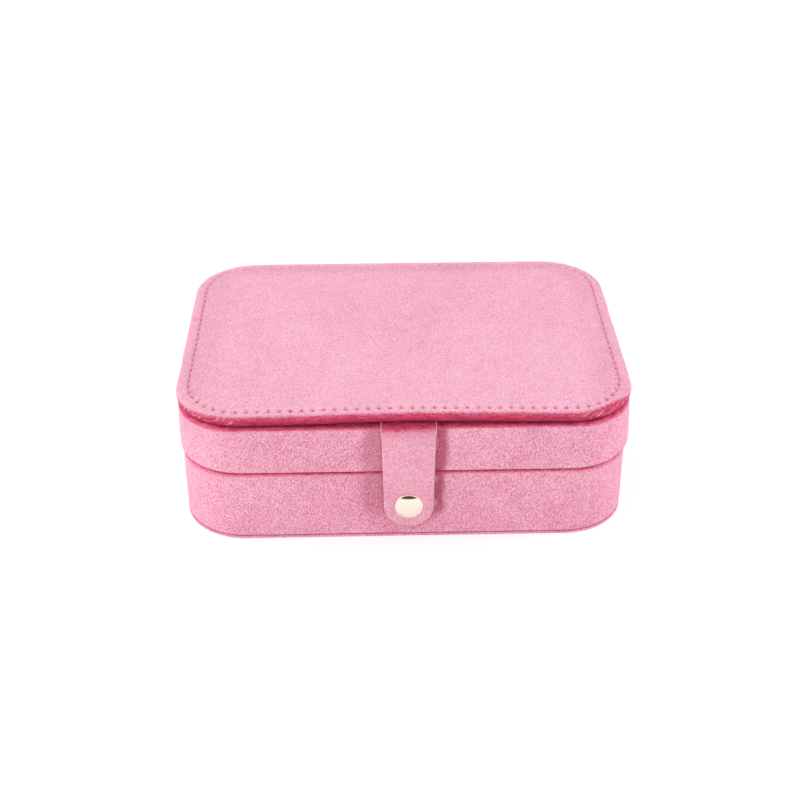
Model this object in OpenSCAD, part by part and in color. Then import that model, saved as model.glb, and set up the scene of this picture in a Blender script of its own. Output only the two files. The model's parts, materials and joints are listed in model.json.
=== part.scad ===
// Two-tier travel jewelry box covered in velvet.
// A flat lid panel with a rolled edge sits on an upper tray, and the tray sits on a lower box.
// Lid and tray fold back on a cloth spine, and a strap with a snap button holds all three shut.
//
// Frame: +X to the right, +Y to the back, +Z up. The origin is the centre of the underside.

/* [Lid] */
// Width of the lid panel, left to right
lid_w = 170; // [150:1:200]
// Depth of the lid panel, front to back
lid_d = 125; // [115:1:150]
// Corner radius of the lid panel, seen from above
corner_r = 25; // [20:1:30]
// Thickness of the lid panel, which is also the diameter of its rolled edge
lid_t = 5; // [5:0.5:8]
// Width of the mirror inside the lid
mirror_w = 120; // [80:1:130]
// Height of the mirror inside the lid
mirror_d = 80; // [50:1:90]

/* [Tiers] */
// Height of the wall of the upper tray
tray_h = 19.6; // [19:0.2:30]
// Height of the wall of the lower box
base_h = 27.8; // [26:0.2:40]
// Thickness of the bottom panel, which the box stands on
bottom_t = 1.4; // [1:0.1:3]
// Height of the gap at each seam
seam_gap = 0.4; // [0.3:0.1:0.8]
// How far the tray wall stands in from the lid's edge
tray_inset = 0.5; // [0.2:0.1:1.5]
// How far the lower box's wall stands in from the lid's edge
base_inset = 0.9; // [0.2:0.1:2]
// How far the bottom panel stands in from the lid's edge
bottom_inset = 0.9; // [0.5:0.1:4]

/* [Walls] */
// Thickness of the velvet cover on the outside
cover_t = 0.8; // [0.5:0.1:1.2]
// Thickness of the stiff frame inside each wall
frame_t = 2; // [1.5:0.1:3]
// Thickness of the velvet lining on the inside
lining_t = 0.8; // [0.5:0.1:1.2]
// Thickness of the velvet where it folds over a rim
rim_t = 0.3; // [0.2:0.1:0.5]
// Thickness of the floor boards
floor_t = 1.5; // [1:0.1:2]
// Thickness of the padded velvet on each floor
pad_t = 1.5; // [1:0.1:2]

/* [Inside] */
// Thickness of the velvet dividers
divider_t = 2.4; // [1.6:0.2:4]
// How far the dividers stop short of the rim above them
divider_drop = 2.6; // [2:0.2:8]
// Y of the long divider across the lower box
long_divider_y = -6; // [-20:1:10]
// X of the two short dividers behind it, left and right of the middle
short_divider_x = 28; // [20:1:36]
// X of the two tray dividers, left and right of the middle
tray_divider_x = 31.2; // [28:0.2:36]
// Number of ring rolls in the tray
ring_rolls = 10; // [8:1:12]

/* [Strap and snap] */
// Width of the strap
strap_w = 19.4; // [14:0.2:26]
// Thickness of each of the strap's two layers
strap_layer_t = 0.9; // [0.6:0.1:1.2]
// Height of the strap's lower end above the table
strap_end_z = 6.5; // [4:0.5:10]
// X of the strap's middle
strap_x = 1; // [-4:0.5:4]
// Height of the snap button above the table
snap_z = 15.5; // [13:0.5:20]
// Diameter of the snap cap
cap_d = 10.5; // [9:0.5:13]

/* [Spine] */
// Width of the cloth spine across the back
spine_w = 104; // [60:1:110]
// Thickness of the cloth spine
spine_t = 0.7; // [0.5:0.1:1]

/* [Hidden] */
$fn = 96;
cut = 1;                 // overrun of a cutting shape past the face that it cuts

tray_z0 = bottom_t + base_h + seam_gap;
tray_z1 = tray_z0 + tray_h;
base_z1 = bottom_t + base_h;
lid_z0 = tray_z1 + seam_gap;
lid_z1 = lid_z0 + lid_t;

corner_x = lid_w / 2 - corner_r;
corner_y = lid_d / 2 - corner_r;

// Insets of the wall's layers, measured from the wall's outside
frame_in = cover_t;
lining_in = cover_t + frame_t;
room_in = cover_t + frame_t + lining_t;

base_wall_y = lid_d / 2 - base_inset;
tray_wall_y = lid_d / 2 - tray_inset;
base_room_x = lid_w / 2 - base_inset - room_in;
base_room_y = base_wall_y - room_in;
tray_room_x = lid_w / 2 - tray_inset - room_in;
tray_room_y = tray_wall_y - room_in;

base_pad_z = bottom_t + floor_t;
base_room_z = base_pad_z + pad_t;
underside_t = 0.6;
tray_floor_z = tray_z0 + underside_t;
tray_pad_z = tray_floor_z + floor_t;
tray_room_z = tray_pad_z + pad_t;

lid_skin_t = 0.8;
lid_rim = 3.3;           // width of the rolled edge, outside the lid's core
board_t = 1.6;
lining_plate_t = 1.4;
mirror_t = 1.2;
mirror_r = 14;

bead_r = 0.7;            // cloth bead that each spine fold turns on
bead_gap = 0.1;
bead_y = tray_wall_y + 1;
lower_bead_z = bottom_t + base_h + seam_gap / 2;
upper_bead_z = tray_z1 + seam_gap / 2;
spine_hem_z = 6;
spine_tuck = 6.5;        // how far the spine is tucked under the lid

strap_gap = 0.2;         // between the strap and the tray wall behind it
strap_y = -tray_wall_y - strap_gap - strap_layer_t;   // plane between the two layers
strap_pivot_z = tray_z1 - 0.3;
strap_tuck = 8;          // how far the strap is tucked under the lid

roll_pitch = 2 * tray_room_y / ring_rolls;
roll_d = roll_pitch - 0.28;
roll_l = 2 * tray_divider_x - divider_t;

post_r = 1.2;
stud_r = 1.7;
socket_bore_r = stud_r + 0.15;
socket_r = 4.5;
post_head_r = 3;
post_head_t = 0.4;
post_head_y = lining_in - base_wall_y;
shank_r = 2.5;
shank_t = 0.5;           // length of the cap's shank, through the outer layer of the strap
socket_y = strap_y - strap_layer_t + shank_t;
stud_h = 1.6;
flange_r = 3.6;
flange_t = 0.4;

velvet = [0.90, 0.60, 0.70];
dark_velvet = [0.72, 0.33, 0.47];
board = [0.80, 0.74, 0.65];
gold = [0.93, 0.82, 0.62];

ROLLS = [for (i = [1 : ring_rolls]) str("ring_roll_", i)];

// ---- shared shapes ----

// Plan outline of the box, stepped in from the lid's edge by inset
module outline(inset) {
    r = corner_r - inset;
    square([2 * corner_x, 2 * (corner_y + r)], center = true);
    square([2 * (corner_x + r), 2 * corner_y], center = true);
    for (sx = [-1, 1], sy = [-1, 1])
        translate([sx * corner_x, sy * corner_y])
            circle(r);
}

// Flat plate with the plan outline, from z0 up to z1
module plate(inset, z0, z1) {
    translate([0, 0, z0])
        linear_extrude(z1 - z0)
            outline(inset);
}

// Upright wall between two insets, from z0 up to z1
module wall(inset_out, inset_in, z0, z1) {
    translate([0, 0, z0])
        linear_extrude(z1 - z0)
            difference() {
                outline(inset_out);
                outline(inset_in);
            }
}

// Velvet that wraps a tier's frame on the outside and over its top and bottom rims
module wrapped_wall(inset, z0, z1) {
    difference() {
        wall(inset, inset + lining_in, z0, z1);
        wall(inset + frame_in, inset + lining_in + cut, z0 + rim_t, z1 - rim_t);
    }
}

// Box given by its two X, Y and Z limits
module block(x, y, z) {
    translate([x[0], y[0], z[0]])
        cube([x[1] - x[0], y[1] - y[0], z[1] - z[0]]);
}

// Cylinder along X, centred on the YZ point
module rod_x(r, length, x, y, z) {
    translate([x - length / 2, y, z])
        rotate([0, 90, 0])
            cylinder(h = length, r = r);
}

// Cylinder along the snap's axis, from y0 to y1
module snap_cylinder(r, y0, y1) {
    translate([strap_x, y1, snap_z])
        rotate([90, 0, 0])
            cylinder(h = y1 - y0, r = r);
}

// Profile of the lid's edge seen end on: flat inside, half round outside
module roll_profile(reach) {
    square([reach - lid_t / 2, lid_t]);
    translate([reach - lid_t / 2, lid_t / 2])
        intersection() {
            circle(lid_t / 2);
            translate([0, -lid_t / 2])
                square([lid_t, lid_t]);
        }
}

// One straight side of the lid's rolled edge, from the corner centres' line outwards
module roll_side(length) {
    rotate([90, 0, 0])
        translate([0, 0, -length / 2])
            linear_extrude(length)
                roll_profile(corner_r);
}

// Lid slab whose whole edge is half round
module rolled_slab() {
    translate([0, 0, lid_z0]) {
        block([-corner_x, corner_x], [-corner_y, corner_y], [0, lid_t]);
        for (a = [0, 180])
            rotate(a) {
                translate([corner_x, 0, 0])
                    roll_side(2 * corner_y);
                translate([0, corner_y, 0])
                    rotate(90)
                        roll_side(2 * corner_x);
                translate([corner_x, corner_y, 0])
                    rotate_extrude(angle = 90)
                        roll_profile(corner_r);
                translate([-corner_x, corner_y, 0])
                    rotate(90)
                        rotate_extrude(angle = 90)
                            roll_profile(corner_r);
            }
    }
}

// Room under the lid's edge for the tucked end of the spine
module spine_slot() {
    block([-spine_w / 2, spine_w / 2],
          [bead_y - spine_tuck, bead_y + cut],
          [lid_z0 - cut, lid_z0 + spine_t + 0.1]);
}

// Room under the lid's edge for the tucked end of the strap
module strap_slot() {
    block([strap_x - strap_w / 2, strap_x + strap_w / 2],
          [strap_y - cut, strap_y + strap_tuck],
          [lid_z0 - cut, lid_z0 + strap_layer_t]);
}

// ---- lower box ----

module bottom_panel() {
    color(dark_velvet)
        plate(bottom_inset, 0, bottom_t);
}

module base_frame() {
    color(board)
        difference() {
            wall(base_inset + frame_in, base_inset + lining_in, bottom_t + rim_t, base_z1 - rim_t);
            snap_cylinder(post_r, -base_wall_y - cut, -base_room_y + cut);
        }
}

module base_cover() {
    color(velvet)
        difference() {
            wrapped_wall(base_inset, bottom_t, base_z1);
            snap_cylinder(post_r, -base_wall_y - cut, -base_room_y + cut);
        }
}

module base_lining() {
    color(velvet)
        difference() {
            wall(base_inset + lining_in, base_inset + room_in, base_pad_z, base_z1);
            snap_cylinder(post_head_r, post_head_y - cut, post_head_y + post_head_t);
        }
}

module base_floor() {
    color(board)
        plate(base_inset + lining_in, bottom_t, base_pad_z);
}

module base_floor_pad() {
    color(dark_velvet)
        plate(base_inset + room_in, base_pad_z, base_room_z);
}

module base_divider_long() {
    color(velvet)
        block([-base_room_x, base_room_x],
              [long_divider_y - divider_t / 2, long_divider_y + divider_t / 2],
              [base_room_z, base_z1 - divider_drop]);
}

module base_divider_short(side) {
    x = side * short_divider_x;
    color(velvet)
        block([x - divider_t / 2, x + divider_t / 2],
              [long_divider_y + divider_t / 2, base_room_y],
              [base_room_z, base_z1 - divider_drop]);
}

module snap_stud() {
    color(gold)
        difference() {
            union() {
                snap_cylinder(flange_r, -base_wall_y - flange_t, -base_wall_y);
                snap_cylinder(stud_r, -base_wall_y - stud_h, -base_wall_y - flange_t);
            }
            snap_cylinder(post_r, -base_wall_y - 1, -base_wall_y + cut);
        }
}

module snap_post() {
    color(gold) {
        snap_cylinder(post_r, -base_wall_y - 1, post_head_y);
        snap_cylinder(post_head_r, post_head_y, post_head_y + post_head_t);
    }
}

module spine_on_base() {
    color(dark_velvet) {
        block([-spine_w / 2, spine_w / 2], [base_wall_y, base_wall_y + spine_t], [spine_hem_z, base_z1 - 1]);
        block([-spine_w / 2, spine_w / 2], [base_wall_y, bead_y], [base_z1 - 1, base_z1]);
        rod_x(bead_r, spine_w, 0, bead_y, lower_bead_z);
    }
}

// ---- upper tray ----

module tray_frame() {
    color(board)
        wall(tray_inset + frame_in, tray_inset + lining_in, tray_z0 + rim_t, tray_z1 - rim_t);
}

module tray_cover() {
    color(velvet)
        wrapped_wall(tray_inset, tray_z0, tray_z1);
}

module tray_lining() {
    color(velvet)
        wall(tray_inset + lining_in, tray_inset + room_in, tray_pad_z, tray_z1);
}

module tray_floor() {
    color(board)
        plate(tray_inset + lining_in, tray_floor_z, tray_pad_z);
}

module tray_underside() {
    color(dark_velvet)
        plate(tray_inset + lining_in, tray_z0, tray_floor_z);
}

module tray_floor_pad() {
    color(dark_velvet)
        plate(tray_inset + room_in, tray_pad_z, tray_room_z);
}

module tray_divider_side(side) {
    x = side * tray_divider_x;
    color(velvet)
        block([x - divider_t / 2, x + divider_t / 2],
              [-tray_room_y, tray_room_y],
              [tray_room_z, tray_z1 - divider_drop]);
}

module tray_divider_cross() {
    color(velvet)
        block([-tray_room_x, -tray_divider_x - divider_t / 2],
              [-divider_t / 2, divider_t / 2],
              [tray_room_z, tray_z1 - divider_drop]);
}

// Rolls are numbered from the front to the back
module ring_roll(number) {
    y = -tray_room_y + (number - 0.5) * roll_pitch;
    color(velvet)
        rod_x(roll_d / 2, roll_l, 0, y, tray_room_z + roll_d / 2);
}

module spine_on_tray() {
    color(dark_velvet)
        difference() {
            union() {
                block([-spine_w / 2, spine_w / 2],
                      [tray_wall_y, tray_wall_y + spine_t],
                      [tray_z0 + 0.2, tray_z1 - 1]);
                block([-spine_w / 2, spine_w / 2], [tray_wall_y, bead_y], [tray_z1 - 1, tray_z1]);
                rod_x(bead_r, spine_w, 0, bead_y, upper_bead_z);
            }
            rod_x(bead_r + bead_gap, spine_w + 2 * cut, 0, bead_y, lower_bead_z);
        }
}

// ---- lid ----

module lid_cover() {
    color(velvet)
        difference() {
            rolled_slab();
            plate(lid_rim, lid_z0 - cut, lid_z1 - lid_skin_t);
            spine_slot();
            strap_slot();
        }
}

module lid_foam() {
    color(velvet)
        plate(lid_rim, lid_z0 + lining_plate_t + board_t, lid_z1 - lid_skin_t);
}

module lid_board() {
    color(board)
        plate(lid_rim, lid_z0 + lining_plate_t, lid_z0 + lining_plate_t + board_t);
}

// Plan outline of the mirror
module mirror_outline() {
    x = mirror_w / 2 - mirror_r;
    y = mirror_d / 2 - mirror_r;
    square([mirror_w, 2 * y], center = true);
    square([2 * x, mirror_d], center = true);
    for (sx = [-1, 1], sy = [-1, 1])
        translate([sx * x, sy * y])
            circle(mirror_r);
}

module lid_lining() {
    color(dark_velvet)
        difference() {
            plate(lid_rim, lid_z0, lid_z0 + lining_plate_t);
            translate([0, 0, lid_z0 - cut])
                linear_extrude(lining_plate_t + 2 * cut)
                    mirror_outline();
            spine_slot();
            strap_slot();
        }
}

module lid_mirror() {
    color("lightblue")
        translate([0, 0, lid_z0 + lining_plate_t - mirror_t])
            linear_extrude(mirror_t)
                mirror_outline();
}

module strap_root() {
    color(velvet)
        difference() {
            block([strap_x - strap_w / 2, strap_x + strap_w / 2],
                  [strap_y + bead_gap, strap_y + strap_tuck],
                  [lid_z0, lid_z0 + strap_layer_t]);
            rod_x(strap_layer_t + bead_gap, strap_w + 2 * cut, strap_x, strap_y, strap_pivot_z);
        }
}

module spine_on_lid() {
    color(dark_velvet)
        difference() {
            block([-spine_w / 2, spine_w / 2],
                  [bead_y - spine_tuck, bead_y - 0.4],
                  [lid_z0, lid_z0 + spine_t + 0.1]);
            rod_x(bead_r + bead_gap, spine_w + 2 * cut, 0, bead_y, upper_bead_z);
        }
}

// ---- strap ----

// One layer of the strap from y0 to y1, round at its lower end and square at z_top
module strap_layer(y0, y1, z_top) {
    end_r = strap_w / 2;
    translate([0, y1, 0])
        rotate([90, 0, 0])
            linear_extrude(y1 - y0) {
                translate([strap_x - end_r, strap_end_z + end_r])
                    square([strap_w, z_top - strap_end_z - end_r]);
                translate([strap_x, strap_end_z + end_r])
                    circle(end_r);
            }
}

module strap_face() {
    color(velvet)
        difference() {
            union() {
                strap_layer(strap_y - strap_layer_t, strap_y, strap_pivot_z);
                rod_x(strap_layer_t, strap_w, strap_x, strap_y, strap_pivot_z);
            }
            snap_cylinder(shank_r, strap_y - strap_layer_t - cut, strap_y + cut);
            snap_cylinder(socket_r, socket_y, strap_y + cut);
        }
}

module strap_backing() {
    color(velvet)
        difference() {
            strap_layer(strap_y, strap_y + strap_layer_t, strap_pivot_z - strap_layer_t);
            snap_cylinder(socket_r, strap_y - cut, strap_y + strap_layer_t + cut);
        }
}

module snap_socket() {
    color(gold)
        difference() {
            snap_cylinder(socket_r, socket_y, strap_y + strap_layer_t);
            snap_cylinder(socket_bore_r, strap_y - cut, strap_y + strap_layer_t + cut);
        }
}

// Domed cap: a slice of a sphere on a thin rim, with the shank that holds the socket
module snap_cap() {
    face_y = strap_y - strap_layer_t;
    rim_h = 0.35;
    dome_h = 0.75;
    dome_r = (pow(cap_d / 2, 2) + pow(dome_h, 2)) / (2 * dome_h);
    color(gold) {
        snap_cylinder(shank_r, face_y, socket_y);
        snap_cylinder(cap_d / 2, face_y - rim_h, face_y);
        intersection() {
            snap_cylinder(cap_d / 2, face_y - rim_h - dome_h, face_y - rim_h);
            translate([strap_x, face_y - rim_h - dome_h + dome_r, snap_z])
                rotate([90, 0, 0])
                    sphere(dome_r);
        }
    }
}

bottom_panel();
base_frame();
base_cover();
base_lining();
base_floor();
base_floor_pad();
base_divider_long();
base_divider_short(-1);  // base_divider_left
base_divider_short(1);  // base_divider_right
snap_stud();
snap_post();
spine_on_base();
tray_frame();
tray_cover();
tray_lining();
tray_floor();
tray_underside();
tray_floor_pad();
tray_divider_side(-1);  // tray_divider_left
tray_divider_side(1);  // tray_divider_right
tray_divider_cross();
spine_on_tray();
lid_cover();
lid_foam();
lid_board();
lid_lining();
lid_mirror();
strap_root();
spine_on_lid();
strap_face();
strap_backing();
snap_cap();
snap_socket();
for (i = [1 : ring_rolls])
    ring_roll(i);
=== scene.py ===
"""Looks of the two-tier velvet jewelry box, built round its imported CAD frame.

Lengths are in metres, in the frame's own axes: +X right, +Y back, +Z up, origin under the box's middle.
"""

import json
import math

import bmesh
import bpy
import numpy as np
from mathutils import Matrix, Vector


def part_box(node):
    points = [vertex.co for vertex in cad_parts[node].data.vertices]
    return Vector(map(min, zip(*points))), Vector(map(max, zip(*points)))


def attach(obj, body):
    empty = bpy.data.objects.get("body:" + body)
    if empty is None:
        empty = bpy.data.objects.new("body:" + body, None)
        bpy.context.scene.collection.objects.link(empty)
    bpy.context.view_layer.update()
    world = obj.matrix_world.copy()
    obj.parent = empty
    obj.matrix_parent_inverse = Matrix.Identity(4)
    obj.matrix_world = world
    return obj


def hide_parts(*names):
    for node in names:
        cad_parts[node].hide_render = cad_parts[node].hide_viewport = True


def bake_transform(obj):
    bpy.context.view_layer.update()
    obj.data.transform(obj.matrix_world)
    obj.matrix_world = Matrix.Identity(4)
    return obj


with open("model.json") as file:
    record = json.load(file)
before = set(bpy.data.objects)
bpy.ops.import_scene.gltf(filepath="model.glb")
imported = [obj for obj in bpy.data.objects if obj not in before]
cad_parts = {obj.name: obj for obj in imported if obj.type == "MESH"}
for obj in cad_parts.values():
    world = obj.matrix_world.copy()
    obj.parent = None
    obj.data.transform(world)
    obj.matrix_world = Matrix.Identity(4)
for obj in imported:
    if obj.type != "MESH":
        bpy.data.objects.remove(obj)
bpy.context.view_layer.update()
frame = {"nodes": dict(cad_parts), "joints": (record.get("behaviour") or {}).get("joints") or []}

MM = 0.001
STAND_OFF = 0.02 * MM        # hairline kept between a cloth skin and what it is glued to
WELD = 0.002 * MM            # points nearer to each other than this are one point

# ---- sizes, read from the frame ----

lid_low, lid_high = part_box("lid_cover")
tray_low, tray_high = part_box("tray_cover")
box_low, box_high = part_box("base_cover")
bottom_low, bottom_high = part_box("bottom_panel")
strap_low, strap_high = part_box("strap_face")
mirror_low, mirror_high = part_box("lid_mirror")
lid_lining_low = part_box("lid_lining")[0]

CORNER_R = 25 * MM           # corner radius of the lid in plan
CORNER_Y = lid_high.y - CORNER_R
ROLL_R = (lid_high.z - lid_low.z) / 2
STRAP_X = (strap_low.x + strap_high.x) / 2
STRAP_W = strap_high.x - strap_low.x
JOINTS = {j["name"]: j for j in frame["joints"]}
OVERHANG = 0.35 * MM         # how far the lower wall's velvet comes down over the bottom panel


# ---- numbers and meshes ----

def smooth(value, low, high):
    """0 below low, 1 above high, and a smooth step between."""
    t = np.clip((value - low) / (high - low), 0, 1)
    return t * t * (3 - 2 * t)


def bump(value, centre, width):
    """Bell curve of height 1."""
    return np.exp(-(((value - centre) / width) ** 2))


def ripple(points, size, seed, waves=9):
    """Smooth random field of about unit height over points, with features of that size."""
    rng = np.random.default_rng(seed)
    total = np.zeros(points.shape[:-1])
    for _ in range(waves):
        direction = rng.normal(size=3)
        direction /= np.linalg.norm(direction)
        rate = 2 * math.pi / (size * rng.uniform(0.7, 1.5))
        total += np.sin(points @ direction * rate + rng.uniform(0, 2 * math.pi))
    return total / math.sqrt(waves)


class Outline:
    """Closed plan outline, a rectangle with round corners, as points that step inwards together."""

    def __init__(self, half_x, half_y, radius, step):
        self.radius = radius
        self.core = np.array([half_x - radius, half_y - radius])
        signs = [(1, -1), (1, 1), (-1, 1), (-1, -1), (1, -1)]
        arc = max(6, round(radius * math.pi / 2 / step))
        base, normal = [], []
        for k in range(4):
            start, end = (np.array(s) * self.core for s in signs[k:k + 2])
            side = max(2, round(np.linalg.norm(end - start) / step))
            for t in np.arange(side) / side:
                base.append(start + (end - start) * t)
                normal.append(k * math.pi / 2)
            for t in np.arange(arc) / arc:
                base.append(end)
                normal.append((k + t) * math.pi / 2)
        self.base = np.array(base)
        angle = np.array(normal)
        self.normal = np.stack([np.cos(angle), np.sin(angle)], axis=1)

    def at(self, inset):
        """The outline's points, stepped in by inset. Past the corner radius it is a plain rectangle."""
        r = self.radius - inset
        if r >= 0:
            return self.base + self.normal * r
        return self.base * np.maximum(self.core + r, 0) / self.core

    def lengths(self, inset):
        """Distance along the stepped outline at each point, and its whole length."""
        p = self.at(inset)
        steps = np.linalg.norm(np.roll(p, -1, axis=0) - p, axis=1)
        return np.concatenate([[0], np.cumsum(steps)[:-1]]), steps.sum()


def concentric_radius(high):
    """Corner radius of a part that stands in from the lid, so that its corners follow the lid's."""
    return CORNER_R - (lid_high.x - high.x)


def swept(outline, profile):
    """Points [row, column, 3] of a profile of (inset, z) rows carried round an outline."""
    return np.array([np.insert(outline.at(inset), 2, z, axis=1) for inset, z in profile])


def in_scene(name, data):
    """A new object that holds data, linked to the scene."""
    obj = bpy.data.objects.new(name, data)
    bpy.context.scene.collection.objects.link(obj)
    return obj


def weld(mesh):
    """Joins the points of a mesh that lie together, turns its faces outwards and shades it smooth."""
    work = bmesh.new()
    work.from_mesh(mesh)
    bmesh.ops.remove_doubles(work, verts=work.verts, dist=WELD)
    bmesh.ops.recalc_face_normals(work, faces=work.faces)
    work.to_mesh(mesh)
    work.free()
    mesh.polygons.foreach_set("use_smooth", [True] * len(mesh.polygons))


def mesh_object(name, points, wrap_rows=False, wrap_columns=True, caps=False, paint=None):
    """Smooth mesh of quads over points[row, column]. paint is {attribute name: value at each point}."""
    rows, columns = points.shape[:2]
    index = np.arange(rows * columns).reshape(rows, columns)
    if wrap_rows:
        index = np.vstack([index, index[:1]])
    if wrap_columns:
        index = np.hstack([index, index[:, :1]])
    quads = np.stack([index[:-1, :-1], index[:-1, 1:], index[1:, 1:], index[1:, :-1]], axis=-1)
    faces = quads.reshape(-1, 4).tolist()
    if caps:
        faces += [list(range(columns)), list(range((rows - 1) * columns, rows * columns))]
    mesh = bpy.data.meshes.new(name)
    mesh.from_pydata(points.reshape(-1, 3).tolist(), [], faces)
    for key, value in (paint or {}).items():
        layer = mesh.attributes.new(key, "FLOAT", "POINT")
        layer.data.foreach_set("value", np.broadcast_to(value, (rows, columns)).astype(np.float32).ravel())
    weld(mesh)
    return in_scene(name, mesh)


def joined(name, objects):
    """One object from several, which are removed."""
    work = bmesh.new()
    for o in objects:
        work.from_mesh(o.data)
    mesh = bpy.data.meshes.new(name)
    work.to_mesh(mesh)
    work.free()
    for o in objects:
        bpy.data.objects.remove(o)
    return in_scene(name, mesh)


def dress(obj, material, body=None, replaces=()):
    """Gives a piece its material and slot, the body it rides on and the CAD nodes that it stands for."""
    obj.data.materials.clear()
    obj.data.materials.append(material)
    if body:
        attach(obj, body)
    if replaces:
        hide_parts(*replaces)


# ---- materials ----

class Nodes:
    """Short names for building a node material. An input takes a number, a tuple or a node's output."""

    def __init__(self, name):
        self.material = bpy.data.materials.new(name)
        self.material.use_nodes = True
        self.tree = self.material.node_tree
        self.tree.nodes.clear()
        self.shader = self.new("BsdfPrincipled")
        self.new("OutputMaterial", Surface=self.shader.outputs[0])

    def feed(self, target, value):
        """Gives an input a value, or links it to an output."""
        if isinstance(value, bpy.types.NodeSocket):
            self.tree.links.new(value, target)
        else:
            target.default_value = (*value, 1) if target.type == "RGBA" else value

    def new(self, kind, **values):
        """A new node of that kind, with its inputs given by name."""
        node = self.tree.nodes.new("ShaderNode" + kind)
        self.set(node, **values)
        return node

    def set(self, node=None, **values):
        """Gives a node's inputs, or the shader's, by name."""
        for key, value in values.items():
            self.feed((node or self.shader).inputs[key.replace("_", " ")], value)

    def place(self, scale=(1, 1, 1)):
        """Object coordinates, stretched by scale and turned away from the noise's own grid."""
        where = self.new("TexCoord").outputs["Object"]
        return self.new("Mapping", Vector=where, Rotation=(0.62, 0.41, 0.27), Scale=scale).outputs[0]

    def noise(self, where, size, detail=2.0, roughness=0.5):
        """Noise with features of about that size in metres."""
        node = self.new("TexNoise", Vector=where, Scale=1 / size, Detail=detail, Roughness=roughness)
        return node.outputs["Fac"]

    def attribute(self, name):
        node = self.new("Attribute")
        node.attribute_name = name
        return node.outputs["Fac"]

    def math(self, operation, a, b=0.0, clamp=False):
        node = self.new("Math")
        node.operation = operation
        node.use_clamp = clamp
        for socket, value in zip(node.inputs, (a, b)):
            self.feed(socket, value)
        return node.outputs[0]

    def total(self, first, *others, clamp=False):
        """Sum of several values, which the last step may keep within 0 and 1."""
        for k, other in enumerate(others, 1):
            first = self.math("ADD", first, other, clamp and k == len(others))
        return first

    def remap(self, value, low, high, to_low=0.0, to_high=1.0):
        """Value stretched from low..high to to_low..to_high, and held at those ends."""
        node = self.new("MapRange", Value=value, From_Min=low, From_Max=high, To_Min=to_low, To_Max=to_high)
        return node.outputs[0]

    def swing(self, noise, amount, low=0.3):
        """A noise, stretched from low and its mirror image to -amount and amount."""
        return self.remap(noise, low, 1 - low, -amount, amount)

    def mix(self, factor, a, b):
        """Colour a turning into colour b by factor."""
        node = self.new("Mix")
        node.data_type = "RGBA"
        for k, value in ((0, factor), (6, a), (7, b)):
            self.feed(node.inputs[k], value)
        return node.outputs[2]

    def bump(self, height, depth, strength=1.0):
        self.set(Normal=self.new("Bump", Height=height, Distance=depth, Strength=strength).outputs[0])


def tinted(colour, scale):
    """A colour with each channel scaled, up to 1."""
    return tuple(min(1, c * k) for c, k in zip(colour, scale))


def velvet(name, light, crimson, shaded_crimson, grain_size, grain_stretch, contrast, mottle):
    """Short-pile velvet, with a fine grain of strength contrast and softer patches of strength mottle.

    Its colour is light where the pile is seen side on. Three point attributes change that:
    one for nap and shade turns it crimson where the pile is seen end on, and past a half into a shaded
    crimson, which is painted shade under the rolled edge, in the seams and gaps and at the strap's bend;
    near 1 it takes the sheen off;
    one for shade and pressed pile darkens it, with painted shadow beside the strap, painted shade beside the
    stitches and flattened pile under the strap;
    one for edges lightens it on cut edges, with painted highlights on the strap's rounded edges, the puffs
    between the stitches and the gathered folds.
    """
    n = Nodes(name)
    grain = n.noise(n.place(grain_stretch), grain_size, 1.0, 0.5)
    patches = n.noise(n.place(), 6 * MM, 3.0, 0.55)
    brushed = n.noise(n.place((1.0, 0.5, 1.0)), 30 * MM, 2.0, 0.5)
    streaks = n.noise(n.place((0.16, 0.16, 1.0)), 0.5 * MM, 2.0, 0.6)
    fibres = n.noise(n.place((0.5, 0.5, 1.0)), 0.40 * MM, 1.0, 0.5)
    grain_low = 0.28                  # grain and fibres seldom go below this, or over its mirror image
    tone = n.total(n.swing(grain, contrast, grain_low), n.swing(patches, mottle), n.swing(brushed, mottle),
                   0.5, clamp=True)
    streaked = n.total(tone, n.swing(streaks, 0.45), clamp=True)

    def grained(colour, by=tone):
        """Darker and purer to lighter and paler, round a colour."""
        return n.mix(by, tinted(colour, (0.70, 0.42, 0.52)), tinted(colour, (1.30, 1.58, 1.48)))

    nap_and_shade = n.attribute("nap_and_shade")
    ragged = n.total(nap_and_shade, n.swing(grain, 0.10, grain_low), n.swing(fibres, 0.12, grain_low),
                     n.swing(patches, 0.05))
    # painted shadow and shade, with flattened pile under the strap, darken the colour
    shade_and_pressed = n.math("MULTIPLY", n.attribute("shade_and_pressed"), 1.0, clamp=True)
    colour = n.mix(shade_and_pressed, grained(light), grained(SHADE_AND_PRESSED))
    colour = n.mix(n.remap(ragged, 0.10, 0.5), colour, grained(crimson, streaked))
    # past a half: the shaded crimson, painted shade under the rolled edge, in the seams and gaps and at the
    # strap's bend
    colour = n.mix(n.remap(ragged, 0.5, 1.0), colour, grained(shaded_crimson, streaked))
    # lighter on cut edges, and painted highlights on the strap's rounded edges, the puffs and the gathered
    # folds
    colour = n.mix(n.math("MULTIPLY", n.attribute("edge"), 0.6, clamp=True), colour, EDGE_AND_HIGHLIGHT)
    n.set(Base_Color=colour, Roughness=n.remap(patches, 0.3, 0.7, 0.78, 0.92), Specular_IOR_Level=0.08,
          Sheen_Weight=n.remap(nap_and_shade, 0.75, 0.92, 0.7, 0.0), Sheen_Roughness=0.25,
          Sheen_Tint=(1.0, 0.74, 0.80))
    n.bump(grain, 0.30 * MM, 0.6)
    return n.material


def thread(name, colour):
    """Twisted sewing thread."""
    n = Nodes(name)
    twist = n.new("TexWave", Vector=n.place(), Scale=1100, Distortion=1.5)
    twist.wave_type = "BANDS"
    twist.bands_direction = "DIAGONAL"
    shaded = tinted(colour, (0.7, 0.7, 0.7))
    n.set(Base_Color=n.mix(twist.outputs["Fac"], shaded, colour), Roughness=0.6, Sheen_Weight=0.2,
          Specular_IOR_Level=0.3)
    n.bump(twist.outputs["Fac"], 0.05 * MM, 0.6)
    return n.material


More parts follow.
